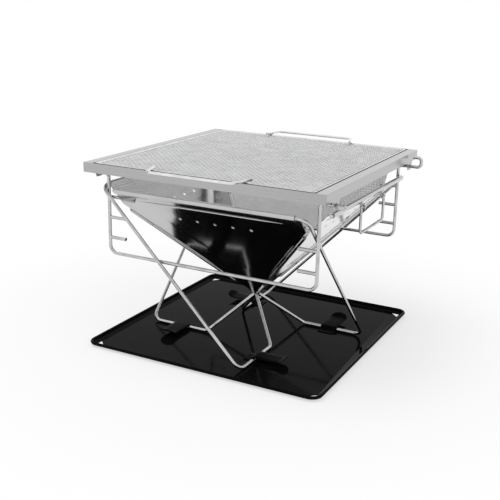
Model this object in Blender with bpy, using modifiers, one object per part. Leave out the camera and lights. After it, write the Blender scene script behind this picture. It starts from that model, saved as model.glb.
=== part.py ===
"""Folding charcoal grill: a square fire pit of four hinged steel panels on bent rods, a black base
plate with four foot clips, and a grill bridge with two wire stands that carries a cooking net.

Metres, +Z up. The origin is the middle of the base plate's underside, +X is to the right and
-Y is the front. Everything in the pit repeats four times round the Z axis.
"""
from math import atan2, cos, hypot, pi, radians, sin, sqrt, tan

import bmesh
import bpy
from mathutils import Euler, Matrix, Vector

# Base plate
PLATE_HALF = 0.186
PLATE_SHEET = 0.001
PLATE_RIM_HEIGHT = 0.0075
PLATE_RIM_WIDTH = 0.0044
PLATE_WALL_RUN = 0.004
PLATE_CORNER_RADIUS = 0.008
CORNER_HOLE_LEG = 0.014
CORNER_HOLE_INSET = 0.0105

# Rods that make the pit's rim and legs
ROD_RADIUS = 0.0025
RIM_HALF = 0.1725
RIM_HEIGHT = 0.2370
FOOT_REACH = 0.0544
RIM_BEND_RADIUS = 0.015
FOOT_BEND_RADIUS = 0.008
FOOT_INNER_OFFSET = 0.057
LEG_OUTSIDE = 0.013
ROD_START_INSET = 0.003
ROD_TIP_OFFSET = 0.004
ROD_TIP_REACH = 0.014

# Panels
SHEET = 0.001
PANEL_HALF = 0.142
CURL_LEFT_INSET = 0.0065
CURL_RIGHT_INSET = 0.004
CURL_SWEEP = radians(255)
CURL_STRAIGHT = 0.004
PANEL_TIP_HALF = 0.008
EMBOSS_TOP = 0.026
EMBOSS_SIDE = 0.039
EMBOSS_TIP_HALF = 0.012
EMBOSS_RAMP = 0.003
EMBOSS_DEPTH = 0.0012
AIR_HOLE_RADIUS = 0.0026
AIR_HOLE_COUNT = 5
AIR_HOLE_PITCH = 0.028
AIR_HOLE_DOWN = 0.0545

# Hinges on the slanted edges
BARREL_RADIUS = 0.0025
BARREL_BORE_RADIUS = 0.0015
PIN_RADIUS = 0.0012
KNUCKLE_COUNT = 5
KNUCKLE_GAP = 0.0006
HINGE_START = 0.026
HINGE_END_INSET = 0.006
PIN_OVERHANG = 0.0012

# Bail handle under the right rim
BAIL_WIRE_RADIUS = 0.002
BAIL_HALF_WIDTH = 0.0456
BAIL_OUTSIDE = 0.0055
BAIL_BELOW_RIM = 0.0072
BAIL_DROP = 0.037
BAIL_BEND_RADIUS = 0.006
BAIL_END_LENGTH = 0.009
LUG_OUTER_RADIUS = 0.0044
LUG_WIDTH = 0.003
LUG_STEM_WIDTH = 0.005

# Foot clips on the base plate
CLIP_WIDTH = 0.026
CLIP_OFFSET = 0.101
CLIP_SHEET = 0.001
CLIP_FOOT_LENGTH = 0.013
CLIP_LEAF_LENGTH = 0.022
CLIP_LIP_LENGTH = 0.008
CLIP_LIP_RISE = 0.0045

# Grill bridge
BRIDGE_OVERHANG = 0.0095
BRIDGE_ABOVE_RIM = 0.0372
BRIDGE_SHEET = 0.0012
BRIDGE_DEPTH = 0.0135
SIDE_FLANGE_WIDTH = 0.014
LEDGE_WIDTH = 0.007
LEDGE_DROP = 0.0042
EAR_HALF_WIDTH = 0.012
EAR_BELOW_HINGE = 0.0052
EAR_LAP = 0.004
EAR_SHEET = 0.001

# Wire stands of the bridge
STAND_INSIDE_WALL = 0.0175
STAND_INSIDE_RIM = 0.025
STAND_HINGE_DROP = 0.0202
STAND_DROP = 0.114
STAND_TOP_BEND = 0.006
STAND_BOTTOM_BEND = 0.012
STAND_STUB = 0.005
RING_LENGTH = 0.019
RING_WIDTH = 0.012
PEG_LAP = 0.005
PEG_PITCH = 0.030
PEG_LEVELS = 3
PEG_WELD = 0.0015

# Cooking net
NET_BORDER_RADIUS = 0.002
NET_WIRE = 0.0016
NET_GAPS_ACROSS = 17
NET_GAPS_DEEP = 17
NET_CORNER_RADIUS = 0.0045
NET_SIDE_CLEARANCE = 0.0006
HANDLE_WIRE_RADIUS = 0.002
HANDLE_HALF_WIDTH = 0.074
HANDLE_TAPER = 0.011
HANDLE_REACH = 0.0235
HANDLE_LAP = 0.010
HANDLE_BEND_RADIUS = 0.007

# Fits
TOUCH_GAP = 0.0003
ROD_CLEARANCE = 0.0003
EDGE_CLEARANCE = 0.0005
PIVOT_CLEARANCE = 0.0005

# Places that follow from the sizes above
LEG_OFFSET = PANEL_HALF + LEG_OUTSIDE
ROD_START_OFFSET = PANEL_HALF - ROD_START_INSET
CURL_LEFT = PANEL_HALF - CURL_LEFT_INSET
CURL_RIGHT = PANEL_HALF - CURL_RIGHT_INSET
HINGE_END = PANEL_HALF - HINGE_END_INSET
BAIL_X = RIM_HALF + BAIL_OUTSIDE
BAIL_PIVOT_Z = RIM_HEIGHT - BAIL_BELOW_RIM
BRIDGE_HALF = RIM_HALF + BRIDGE_OVERHANG
BRIDGE_TOP = RIM_HEIGHT + BRIDGE_ABOVE_RIM
STAND_X = BRIDGE_HALF - STAND_INSIDE_WALL
STAND_Y = RIM_HALF - STAND_INSIDE_RIM
STAND_HINGE_Z = BRIDGE_TOP - STAND_HINGE_DROP
FLOOR_Z = PLATE_SHEET
FOOT_Z = FLOOR_Z + TOUCH_GAP + ROD_RADIUS
SLOPE = atan2(RIM_HEIGHT - FOOT_Z, RIM_HALF + FOOT_REACH)
FOOT_DOWN = hypot(RIM_HEIGHT - FOOT_Z, RIM_HALF + FOOT_REACH)
SHEET_LIFT = ROD_RADIUS + ROD_CLEARANCE + SHEET / 2
HINGE_RUN = RIM_HALF - SHEET_LIFT * sin(SLOPE)
BRIDGE_LEDGE_Z = BRIDGE_TOP - LEDGE_DROP
NET_Z = BRIDGE_LEDGE_Z + BRIDGE_SHEET / 2 + TOUCH_GAP + NET_BORDER_RADIUS
HANDLE_Z = NET_Z + NET_BORDER_RADIUS + TOUCH_GAP + HANDLE_WIRE_RADIUS
SIDE_NAMES = ("front", "right", "back", "left")

PARTS = "Folding charcoal grill"
CUTTERS = "Cutters"


def clear_scene():
    for item in list(bpy.data.objects):
        bpy.data.objects.remove(item, do_unlink=True)


def collection(name):
    found = bpy.data.collections.get(name)
    if found is None:
        found = bpy.data.collections.new(name)
        bpy.context.scene.collection.children.link(found)
    return found


def material(name, colour, metallic, roughness):
    made = bpy.data.materials.new(name)
    made.use_nodes = True
    shader = made.node_tree.nodes["Principled BSDF"]
    shader.inputs["Base Color"].default_value = (*colour, 1.0)
    shader.inputs["Metallic"].default_value = metallic
    shader.inputs["Roughness"].default_value = roughness
    return made


def add_object(name, data, paint=None, group=PARTS):
    made = bpy.data.objects.new(name, data)
    collection(group).objects.link(made)
    if paint is not None:
        made.data.materials.append(paint)
    if group == CUTTERS:
        made.hide_render = True
        made.display_type = "WIRE"
    return made


def add_empty(name, location, parent=None):
    made = bpy.data.objects.new(name, None)
    made.empty_display_size = 0.02
    collection(PARTS).objects.link(made)
    made.location = location
    if parent is not None:
        attach(made, parent)
    return made


def attach(child, parent):
    """Parent without moving the child."""
    bpy.context.view_layer.update()
    child.parent = parent
    child.matrix_parent_inverse = parent.matrix_world.inverted()


def mesh_from(shape, name):
    bmesh.ops.recalc_face_normals(shape, faces=shape.faces)
    mesh = bpy.data.meshes.new(name)
    shape.to_mesh(mesh)
    shape.free()
    return mesh


def smooth(target, angle=radians(35)):
    target.data.shade_smooth()
    target.data.set_sharp_from_angle(angle=angle)


def rounded_path(corners, radii, step=radians(15)):
    """Points of a path through the corners, each corner replaced by an arc of its radius."""
    points = [Vector(corners[0])]
    for before, corner, after, radius in zip(corners, corners[1:], corners[2:], radii):
        corner = Vector(corner)
        back = (Vector(before) - corner).normalized()
        ahead = (Vector(after) - corner).normalized()
        turn = pi - back.angle(ahead)
        reach = radius * tan(turn / 2)
        middle = corner + (back + ahead).normalized() * (radius / cos(turn / 2))
        start = corner + back * reach - middle
        end = corner + ahead * reach - middle
        count = max(2, round(turn / step))
        for index in range(count + 1):
            angle = turn * index / count
            points.append(middle + (start * sin(turn - angle) + end * sin(angle)) / sin(turn))
    points.append(Vector(corners[-1]))
    return points


def wire(name, points, radius, paint, sides=3, closed=False, group=PARTS):
    """A round wire: a bevelled curve through the points, with filled ends."""
    curve = bpy.data.curves.new(name, "CURVE")
    curve.dimensions = "3D"
    curve.bevel_depth = radius
    curve.bevel_resolution = sides
    curve.use_fill_caps = True
    spline = curve.splines.new("POLY")
    spline.points.add(len(points) - 1)
    for point, place in zip(spline.points, points):
        point.co = (*place, 1.0)
    spline.use_cyclic_u = closed
    return add_object(name, curve, paint, group)


def to_mesh(curve_object, paint):
    """A mesh object in place of a curve object, with its caps welded."""
    bpy.context.view_layer.update()
    graph = bpy.context.evaluated_depsgraph_get()
    mesh = bpy.data.meshes.new_from_object(curve_object.evaluated_get(graph))
    shape = bmesh.new()
    shape.from_mesh(mesh)
    bmesh.ops.remove_doubles(shape, verts=shape.verts, dist=1e-6)
    bmesh.ops.recalc_face_normals(shape, faces=shape.faces)
    shape.to_mesh(mesh)
    shape.free()
    name = curve_object.name
    placed = curve_object.matrix_world.copy()
    bpy.data.objects.remove(curve_object, do_unlink=True)
    mesh.materials.clear()
    made = add_object(name, mesh, paint)
    made.matrix_world = placed
    return made


def boolean(target, tool, operation):
    """Apply a Boolean with one tool object, then drop the tool."""
    modifier = target.modifiers.new(operation.title(), "BOOLEAN")
    modifier.operation = operation
    modifier.solver = "EXACT"
    modifier.object = tool
    bpy.context.view_layer.update()
    graph = bpy.context.evaluated_depsgraph_get()
    mesh = bpy.data.meshes.new_from_object(target.evaluated_get(graph))
    target.modifiers.clear()
    target.data = mesh
    bpy.data.objects.remove(tool, do_unlink=True)


def cylinder(name, start, end, radius, segments=16, paint=None, group=CUTTERS):
    start = Vector(start)
    end = Vector(end)
    shape = bmesh.new()
    bmesh.ops.create_cone(shape, cap_ends=True, segments=segments, radius1=radius, radius2=radius,
                          depth=(end - start).length)
    made = add_object(name, mesh_from(shape, name), paint, group)
    made.location = (start + end) / 2
    made.rotation_euler = (end - start).to_track_quat("Z", "Y").to_euler()
    bpy.context.view_layer.update()
    return made


def outline(name, loops, thickness, paint=None, group=CUTTERS):
    """A flat piece in its own XY plane: the first loop is its edge, the others are holes."""
    curve = bpy.data.curves.new(name, "CURVE")
    curve.dimensions = "2D"
    curve.fill_mode = "BOTH"
    curve.extrude = thickness / 2
    for loop in loops:
        spline = curve.splines.new("POLY")
        spline.points.add(len(loop) - 1)
        for point, place in zip(spline.points, loop):
            point.co = (place[0], place[1], 0.0, 1.0)
        spline.use_cyclic_u = True
    return to_mesh(add_object(name, curve, None, group), paint)


def circle(centre, radius, segments=16):
    return [(centre[0] + radius * cos(2 * pi * index / segments),
             centre[1] + radius * sin(2 * pi * index / segments)) for index in range(segments)]


def bent_sheet(name, profile, half_widths, thickness, paint):
    """A strip of sheet that follows a profile in the YZ plane, as wide in X as its half widths."""
    shape = bmesh.new()
    rows = []
    for (along, height), half in zip(profile, half_widths):
        rows.append([shape.verts.new((-half, along, height)), shape.verts.new((half, along, height))])
    for first, second in zip(rows, rows[1:]):
        shape.faces.new((first[0], first[1], second[1], second[0]))
    made = add_object(name, mesh_from(shape, name), paint)
    solid = made.modifiers.new("Sheet thickness", "SOLIDIFY")
    solid.thickness = thickness
    solid.offset = 0.0
    solid.use_even_offset = True
    return made


def square_ring(half, radius, segments=5):
    """Corner points of a rounded square, counter-clockwise."""
    points = []
    for quarter in range(4):
        centre_angle = pi / 4 + quarter * pi / 2
        centre = Vector((cos(centre_angle), sin(centre_angle))) * (half - radius) * sqrt(2)
        for index in range(segments + 1):
            angle = quarter * pi / 2 + pi / 2 * index / segments
            points.append((centre.x + radius * cos(angle), centre.y + radius * sin(angle)))
    return points


def make_base_plate(paint):
    """The tray: floor, sloping wall and rounded rim as one loft, open at its four corner holes."""
    bead = PLATE_RIM_WIDTH / 2
    bead_z = PLATE_RIM_HEIGHT - bead
    wall_foot = PLATE_HALF - PLATE_RIM_WIDTH - PLATE_WALL_RUN
    profile = [(wall_foot + PLATE_SHEET, 0.0), (PLATE_HALF - PLATE_SHEET, bead_z - bead)]
    for index in range(5):
        angle = pi * index / 4
        profile.append((PLATE_HALF - bead + bead * cos(angle), bead_z + bead * sin(angle)))
    profile.append((PLATE_HALF - PLATE_RIM_WIDTH, bead_z - bead))
    profile.append((wall_foot, PLATE_SHEET))
    shape = bmesh.new()
    rings = []
    for half, height in profile:
        radius = PLATE_CORNER_RADIUS + half - PLATE_HALF + PLATE_RIM_WIDTH + PLATE_WALL_RUN
        ring = square_ring(half, radius)
        rings.append([shape.verts.new((x, y, height)) for x, y in ring])
    for first, second in zip(rings, rings[1:]):
        for index in range(len(first)):
            after = (index + 1) % len(first)
            shape.faces.new((first[index], first[after], second[after], second[index]))
    shape.faces.new(list(reversed(rings[0])))
    shape.faces.new(rings[-1])
    plate = add_object("base_plate", mesh_from(shape, "base_plate"), paint)
    near = PLATE_HALF - CORNER_HOLE_INSET
    far = near - CORNER_HOLE_LEG
    for quarter in range(4):
        hole = outline("corner_hole", [[(near, near), (far, near), (near, far)]], 4 * PLATE_SHEET)
        hole.rotation_euler = (0.0, 0.0, quarter * pi / 2)
        boolean(plate, hole, "DIFFERENCE")
    smooth(plate)
    return plate


def clip_profile():
    """The clip's bent strip: welded foot, loop over the wire, leaf and upturned lip."""
    loop_radius = ROD_RADIUS + EDGE_CLEARANCE + CLIP_SHEET / 2
    flat_z = FLOOR_Z + TOUCH_GAP + CLIP_SHEET / 2
    points = [(-loop_radius - CLIP_FOOT_LENGTH, flat_z), (-loop_radius - CLIP_SHEET, flat_z)]
    for index in range(6):
        angle = pi - pi / 2 * index / 5
        points.append((loop_radius * cos(angle), FOOT_Z + loop_radius * sin(angle)))
    leaf_z = FOOT_Z + loop_radius
    points.append((CLIP_LEAF_LENGTH, leaf_z))
    points.append((CLIP_LEAF_LENGTH + CLIP_LIP_LENGTH / 2, leaf_z + CLIP_LIP_RISE / 3))
    points.append((CLIP_LEAF_LENGTH + CLIP_LIP_LENGTH, leaf_z + CLIP_LIP_RISE))
    half = CLIP_WIDTH / 2
    widths = [half] * (len(points) - 2) + [half * 0.93, half * 0.55]
    return points, widths


def make_foot_clips(paint):
    points, widths = clip_profile()
    clips = []
    for turn, side in enumerate(("right", "back", "left", "front")):
        clip = bent_sheet("foot_clip_" + side, points, widths, CLIP_SHEET, paint)
        clip.location = Euler((0.0, 0.0, turn * pi / 2)).to_matrix() @ Vector((CLIP_OFFSET, FOOT_REACH, 0.0))
        clip.rotation_euler = (0.0, 0.0, turn * pi / 2)
        smooth(clip)
        clips.append(clip)
    return clips


def place_in_panel_plane(target, turn):
    """Local X runs along the rim, Y down the slope and Z into the pit, from the rim's middle."""
    spin = Euler((0.0, 0.0, turn * pi / 2)).to_matrix()
    target.location = spin @ Vector((0.0, -RIM_HALF, RIM_HEIGHT))
    target.rotation_euler = (-SLOPE, 0.0, turn * pi / 2)


def down_slope(run, lift=0.0):
    """Distance down the slope at which a point with this lift is this far from the pit's middle."""
    return (RIM_HALF - lift * sin(SLOPE) - run) / cos(SLOPE)


def hinge_point(side, run):
    """A point of a panel's hinge line, run metres out from the middle, on side -1 or +1."""
    return Vector((side * run, down_slope(run, SHEET_LIFT), SHEET_LIFT))


def make_rod(turn, paint):
    """One rod: rim, bent leg, foot on the plate and the strand that runs back up to the tip."""
    corners = [(-ROD_START_OFFSET, 0.0, 0.0), (LEG_OFFSET, 0.0, 0.0), (LEG_OFFSET, FOOT_DOWN, 0.0),
               (FOOT_INNER_OFFSET, FOOT_DOWN, 0.0), (ROD_TIP_OFFSET, down_slope(ROD_TIP_REACH), 0.0)]
    points = rounded_path(corners, (RIM_BEND_RADIUS, FOOT_BEND_RADIUS, FOOT_BEND_RADIUS))
    rod = wire("leg_rod_" + SIDE_NAMES[turn], points, ROD_RADIUS, paint)
    place_in_panel_plane(rod, turn)
    return rod


def emboss_loop(shape, ramp, lift):
    """The four corners of the embossed field, drawn in by the ramp and raised to the lift."""
    top = EMBOSS_TOP + ramp
    top_half = HINGE_RUN - top * cos(SLOPE) - EMBOSS_SIDE - 2 * ramp
    tip_half = EMBOSS_TIP_HALF - ramp / 2
    low = down_slope(tip_half + EMBOSS_SIDE + 2 * ramp, SHEET_LIFT)
    return [shape.verts.new((x, y, lift))
            for x, y in ((-top_half, top), (top_half, top), (tip_half, low), (-tip_half, low))]


def panel_sheet(name, paint):
    """The panel's sheet before its hinge barrels: curled top edge, slanted sides, embossed middle."""
    inset = (BARREL_RADIUS + EDGE_CLEARANCE) * sqrt(1.0 + cos(SLOPE) ** 2)
    side_down = down_slope(PANEL_HALF + inset, SHEET_LIFT)
    tip_down = down_slope(PANEL_TIP_HALF + inset, SHEET_LIFT)
    shape = bmesh.new()
    top = [shape.verts.new((x, CURL_STRAIGHT, SHEET_LIFT))
           for x in (-PANEL_HALF, -CURL_LEFT, CURL_RIGHT, PANEL_HALF)]
    rest = [shape.verts.new((x, y, SHEET_LIFT)) for x, y in
            ((PANEL_HALF, side_down), (PANEL_TIP_HALF, tip_down),
             (-PANEL_TIP_HALF, tip_down), (-PANEL_HALF, side_down))]
    foot = emboss_loop(shape, 0.0, SHEET_LIFT)
    crest = emboss_loop(shape, EMBOSS_RAMP, SHEET_LIFT + EMBOSS_DEPTH)
    shape.faces.new(top + [foot[1], foot[0]])
    shape.faces.new([top[3], rest[0], rest[1], foot[2], foot[1]])
    shape.faces.new([rest[1], rest[2], foot[3], foot[2]])
    shape.faces.new([rest[2], rest[3], top[0], foot[0], foot[3]])
    for index in range(4):
        after = (index + 1) % 4
        shape.faces.new((foot[index], foot[after], crest[after], crest[index]))
    shape.faces.new(crest)
    row = (top[1], top[2])
    count = 12
    for index in range(count + 1):
        angle = pi / 2 + CURL_SWEEP * index / count
        y = SHEET_LIFT * cos(angle)
        z = SHEET_LIFT * sin(angle)
        new_row = (shape.verts.new((-CURL_LEFT, y, z)), shape.verts.new((CURL_RIGHT, y, z)))
        shape.faces.new((row[1], row[0], new_row[0], new_row[1]))
        row = new_row
    sheet = add_object(name, mesh_from(shape, name), paint)
    solid = sheet.modifiers.new("Sheet thickness", "SOLIDIFY")
    solid.thickness = SHEET
    solid.offset = 0.0
    return sheet


def knuckle(side, index, first_run, last_run):
    """One hinge knuckle: a barrel with its bore and the tab that joins it to the sheet's edge."""
    start = hinge_point(side, first_run)
    end = hinge_point(side, last_run)
    axis = (end - start).normalized()
    reach = BARREL_RADIUS + EDGE_CLEARANCE + SHEET
    tab = 0.7 * SHEET
    join = sqrt(BARREL_RADIUS ** 2 - tab ** 2)
    edge = [(reach, -tab), (reach, tab)]
    count = 14
    first_angle = atan2(tab, join)
    for step in range(count + 1):
        angle = first_angle + (2 * pi - 2 * first_angle) * step / count
        edge.append((BARREL_RADIUS * cos(angle), BARREL_RADIUS * sin(angle)))
    made = outline("knuckle", [edge, circle((0.0, 0.0), BARREL_BORE_RADIUS, 12)], (end - start).length)
    normal = Vector((0.0, 0.0, 1.0))
    inward = axis.cross(normal) * side
    made.location = (start + end) / 2
    frame = made.matrix_world.to_3x3()
    frame.col[0] = inward
    frame.col[2] = axis
    frame.col[1] = axis.cross(inward)
    made.rotation_euler = frame.to_euler()
    bpy.context.view_layer.update()
    return made


def make_panel(turn, paint):
    """A panel, built in its own plane, with odd knuckles on its left and even ones on its right."""
    name = "panel_" + SIDE_NAMES[turn]
    panel = panel_sheet(name, paint)
    for index in range(KNUCKLE_COUNT):
        length = (HINGE_END - HINGE_START) / KNUCKLE_COUNT
        first = HINGE_START + index * length + KNUCKLE_GAP / 2
        side = 1 if index % 2 == 0 else -1
        boolean(panel, knuckle(side, index, first, first + length - KNUCKLE_GAP), "UNION")
    for index in range(AIR_HOLE_COUNT):
        across = (index - (AIR_HOLE_COUNT - 1) / 2) * AIR_HOLE_PITCH
        start = (across, AIR_HOLE_DOWN, SHEET_LIFT - 5 * SHEET)
        end = (across, AIR_HOLE_DOWN, SHEET_LIFT + 5 * SHEET)
        boolean(panel, cylinder("air_hole", start, end, AIR_HOLE_RADIUS), "DIFFERENCE")
    if SIDE_NAMES[turn] == "right":
        add_bail_lugs(panel)
    place_in_panel_plane(panel, turn)
    smooth(panel)
    return panel


def bail_pivot_in_panel():
    """The bail's pivot in the right panel's plane: distance down the slope and into the pit."""
    across = RIM_HALF - BAIL_X
    below = RIM_HEIGHT - BAIL_PIVOT_Z
    return across * cos(SLOPE) + below * sin(SLOPE), across * sin(SLOPE) - below * cos(SLOPE)


def add_bail_lugs(panel):
    """Two eyes welded under the curl for the bail's ends."""
    down, lift = bail_pivot_in_panel()
    length = hypot(down, lift)
    half = LUG_STEM_WIDTH / 2
    first_angle = atan2(half, sqrt(LUG_OUTER_RADIUS ** 2 - half ** 2))
    top = length - SHEET_LIFT
    edge = [(top, -half), (top, half)]
    for step in range(13):
        angle = first_angle + (2 * pi - 2 * first_angle) * step / 12
        edge.append((LUG_OUTER_RADIUS * cos(angle), LUG_OUTER_RADIUS * sin(angle)))
    bore = circle((0.0, 0.0), BAIL_WIRE_RADIUS + PIVOT_CLEARANCE)
    for side in (-1, 1):
        lug = outline("bail_lug", [edge, bore], LUG_WIDTH)
        middle = side * (BAIL_HALF_WIDTH - BAIL_END_LENGTH / 2 - BAIL_WIRE_RADIUS)
        lug.location = (middle, down, lift)
        frame = Matrix.Identity(3)
        frame.col[0] = Vector((0.0, -down, -lift)).normalized()
        frame.col[2] = Vector((1.0, 0.0, 0.0))
        frame.col[1] = frame.col[2].cross(frame.col[0])
        lug.rotation_euler = frame.to_euler()
        bpy.context.view_layer.update()
        boolean(panel, lug, "UNION")


def make_hinge_pin(turn, paint):
    """The pin between a panel and its neighbour to the right."""
    start = hinge_point(1, HINGE_START - PIN_OVERHANG)
    end = hinge_point(1, HINGE_END + PIN_OVERHANG)
    neighbour = SIDE_NAMES[(turn + 1) % 4]
    pin = cylinder("hinge_pin_" + SIDE_NAMES[turn] + "_" + neighbour, start, end, PIN_RADIUS, 12,
                   paint, PARTS)
    local = pin.matrix_world.copy()
    pin.data.transform(local)
    place_in_panel_plane(pin, turn)
    smooth(pin)
    return pin


def make_bail(paint):
    """The bail: a wire handle that hangs from its two eyes under the right rim."""
    inner = BAIL_HALF_WIDTH - BAIL_END_LENGTH
    low = -BAIL_DROP
    corners = [(0.0, -inner, 0.0), (0.0, -BAIL_HALF_WIDTH, 0.0), (0.0, -BAIL_HALF_WIDTH, low),
               (0.0, BAIL_HALF_WIDTH, low), (0.0, BAIL_HALF_WIDTH, 0.0), (0.0, inner, 0.0)]
    points = rounded_path(corners, (BAIL_WIRE_RADIUS * 1.5, BAIL_BEND_RADIUS, BAIL_BEND_RADIUS,
                                    BAIL_WIRE_RADIUS * 1.5))
    bail = wire("bail_handle", points, BAIL_WIRE_RADIUS, paint, sides=2)
    bail.location = (BAIL_X, 0.0, BAIL_PIVOT_Z)
    return bail


def make_end_rail(name, facing, paint):
    """Front or rear rail: an upright wall with a ledge inside for the net. Facing is -1 or +1."""
    wall_y = facing * (BRIDGE_HALF - BRIDGE_SHEET / 2)
    profile = [(wall_y, BRIDGE_TOP), (wall_y, BRIDGE_TOP - BRIDGE_DEPTH)]
    rail = bent_sheet(name, profile, [BRIDGE_HALF] * 2, BRIDGE_SHEET, paint)
    ledge_half = BRIDGE_HALF - SIDE_FLANGE_WIDTH + BRIDGE_SHEET / 2 - LEDGE_WIDTH - TOUCH_GAP
    ledge_y = (wall_y, facing * (BRIDGE_HALF - LEDGE_WIDTH))
    ledge = bent_sheet("ledge", [(y, BRIDGE_LEDGE_Z) for y in ledge_y], [ledge_half] * 2,
                       BRIDGE_SHEET, paint)
    boolean(rail, ledge, "UNION")
    return rail


def make_side_rail(name, turn, paint):
    """Side rail: wall, flat top flange, step and net ledge as one bent strip, with two ears below."""
    wall_y = BRIDGE_SHEET / 2 - BRIDGE_HALF
    length = BRIDGE_HALF - BRIDGE_SHEET - TOUCH_GAP
    low = BRIDGE_TOP - BRIDGE_DEPTH
    top = BRIDGE_TOP - BRIDGE_SHEET / 2
    step_y = SIDE_FLANGE_WIDTH - BRIDGE_SHEET / 2 - BRIDGE_HALF
    profile = [(wall_y, low), (wall_y, top), (step_y, top), (step_y, BRIDGE_LEDGE_Z),
               (step_y + LEDGE_WIDTH, BRIDGE_LEDGE_Z)]
    rail = bent_sheet(name, profile, [length] * len(profile), BRIDGE_SHEET, paint)
    ear_low = STAND_HINGE_Z - EAR_BELOW_HINGE
    ear_top = low + EAR_LAP
    for place in (-STAND_Y, STAND_Y):
        edge = [(place - EAR_HALF_WIDTH, ear_top), (place - EAR_HALF_WIDTH, low),
                (place - EAR_HALF_WIDTH / 2, ear_low), (place + EAR_HALF_WIDTH / 2, ear_low),
                (place + EAR_HALF_WIDTH, low), (place + EAR_HALF_WIDTH, ear_top)]
        bore = circle((place, STAND_HINGE_Z), ROD_RADIUS + PIVOT_CLEARANCE)
        ear = outline("ear", [edge, bore], EAR_SHEET)
        ear.data.transform(Matrix.Rotation(pi / 2, 4, "X"))
        ear.location = (0.0, wall_y, 0.0)
        bpy.context.view_layer.update()
        boolean(rail, ear, "UNION")
    rail.rotation_euler = (0.0, 0.0, turn * pi / 2)
    return rail


def ring_points(vertical):
    """The keeper ring at the stand's right end, as offsets from the wire's end outside the rail."""
    width = Vector((0.0, 0.0, RING_WIDTH)) if vertical else Vector((0.0, -RING_WIDTH, 0.0))
    out = Vector((RING_LENGTH, 0.0, 0.0))
    return [out, out + width, width + Vector((2 * ROD_RADIUS, 0.0, 0.0))]


def make_stand(name, facing, paint):
    """A U-shaped wire stand on the hinge line of the ears, with its pegs welded on."""
    outside = BRIDGE_HALF + TOUCH_GAP
    corners = [(-outside - STAND_STUB, 0.0, 0.0), (-STAND_X, 0.0, 0.0), (-STAND_X, 0.0, -STAND_DROP),
               (STAND_X, 0.0, -STAND_DROP), (STAND_X, 0.0, 0.0)]
    start = Vector((outside, 0.0, 0.0))
    corners += [start + offset for offset in ring_points(vertical=facing > 0)]
    radii = (STAND_TOP_BEND, STAND_BOTTOM_BEND, STAND_BOTTOM_BEND, STAND_TOP_BEND,
             RING_WIDTH / 2.1, RING_WIDTH / 2.1)
    curve = wire(name, rounded_path(corners, radii), ROD_RADIUS, paint)
    stand = to_mesh(curve, paint)
    for level in range(PEG_LEVELS):
        height = peg_height() - level * PEG_PITCH - STAND_HINGE_Z
        for side in (-1, 1):
            start = (side * (STAND_X - ROD_RADIUS + PEG_WELD), 0.0, height)
            end = (side * (PANEL_HALF - PEG_LAP), 0.0, height)
            boolean(stand, cylinder("peg", start, end, ROD_RADIUS, 12), "UNION")
    stand.location = (0.0, facing * STAND_Y, STAND_HINGE_Z)
    smooth(stand)
    return stand


def peg_height():
    """Height at which the top pegs rest on the inner faces of the front and back panels."""
    sheet_z = RIM_HEIGHT - (RIM_HALF - STAND_Y) * tan(SLOPE) + SHEET_LIFT / cos(SLOPE)
    return sheet_z + (ROD_RADIUS + SHEET / 2 + TOUCH_GAP) / cos(SLOPE)


def net_half_sizes():
    """Half width and half depth of the border wire's centre line."""
    across = BRIDGE_HALF - SIDE_FLANGE_WIDTH - BRIDGE_SHEET / 2 - NET_SIDE_CLEARANCE - NET_BORDER_RADIUS
    deep = BRIDGE_HALF - BRIDGE_SHEET - NET_SIDE_CLEARANCE - NET_BORDER_RADIUS
    return across, deep


def make_net_border(paint):
    across, deep = net_half_sizes()
    corners = [(0.0, -deep, 0.0), (across, -deep, 0.0), (across, deep, 0.0), (-across, deep, 0.0),
               (-across, -deep, 0.0), (0.0, -deep, 0.0)]
    points = rounded_path(corners, [NET_CORNER_RADIUS] * 4)[1:]
    border = wire("net_border", points, NET_BORDER_RADIUS, paint, sides=2, closed=True)
    border.location = (0.0, 0.0, NET_Z)
    return border


def make_net_mesh(paint):
    """The net inside the border: crossed wires that are welded flat, with square gaps between."""
    across, deep = net_half_sizes()
    half_x = across - NET_BORDER_RADIUS - TOUCH_GAP
    half_y = deep - NET_BORDER_RADIUS - TOUCH_GAP
    pitch_x = (2 * half_x - NET_WIRE) / NET_GAPS_ACROSS
    pitch_y = (2 * half_y - NET_WIRE) / NET_GAPS_DEEP
    cut = NET_CORNER_RADIUS - NET_BORDER_RADIUS - TOUCH_GAP
    loops = [[(cut - half_x, -half_y), (half_x - cut, -half_y), (half_x, cut - half_y),
              (half_x, half_y - cut), (half_x - cut, half_y), (cut - half_x, half_y),
              (-half_x, half_y - cut), (-half_x, cut - half_y)]]
    for column in range(NET_GAPS_ACROSS):
        left = column * pitch_x + NET_WIRE - half_x
        right = left + pitch_x - NET_WIRE
        for row in range(NET_GAPS_DEEP):
            near = row * pitch_y + NET_WIRE - half_y
            far = near + pitch_y - NET_WIRE
            loops.append([(left, near), (right, near), (right, far), (left, far)])
    net = outline("net_mesh", loops, NET_WIRE, paint, PARTS)
    net.location = (0.0, 0.0, NET_Z)
    return net


def make_net_handle(name, facing, paint):
    """A flat wire handle laid over the border, reaching out past the rail."""
    deep = net_half_sizes()[1]
    foot = facing * (deep - HANDLE_LAP)
    reach = facing * (deep + HANDLE_REACH)
    narrow = HANDLE_HALF_WIDTH - HANDLE_TAPER
    corners = [(-HANDLE_HALF_WIDTH, foot, 0.0), (-narrow, reach, 0.0), (narrow, reach, 0.0),
               (HANDLE_HALF_WIDTH, foot, 0.0)]
    points = rounded_path(corners, [HANDLE_BEND_RADIUS] * 2)
    handle = wire(name, points, HANDLE_WIRE_RADIUS, paint, sides=2)
    handle.location = (0.0, 0.0, HANDLE_Z)
    return handle


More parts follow.
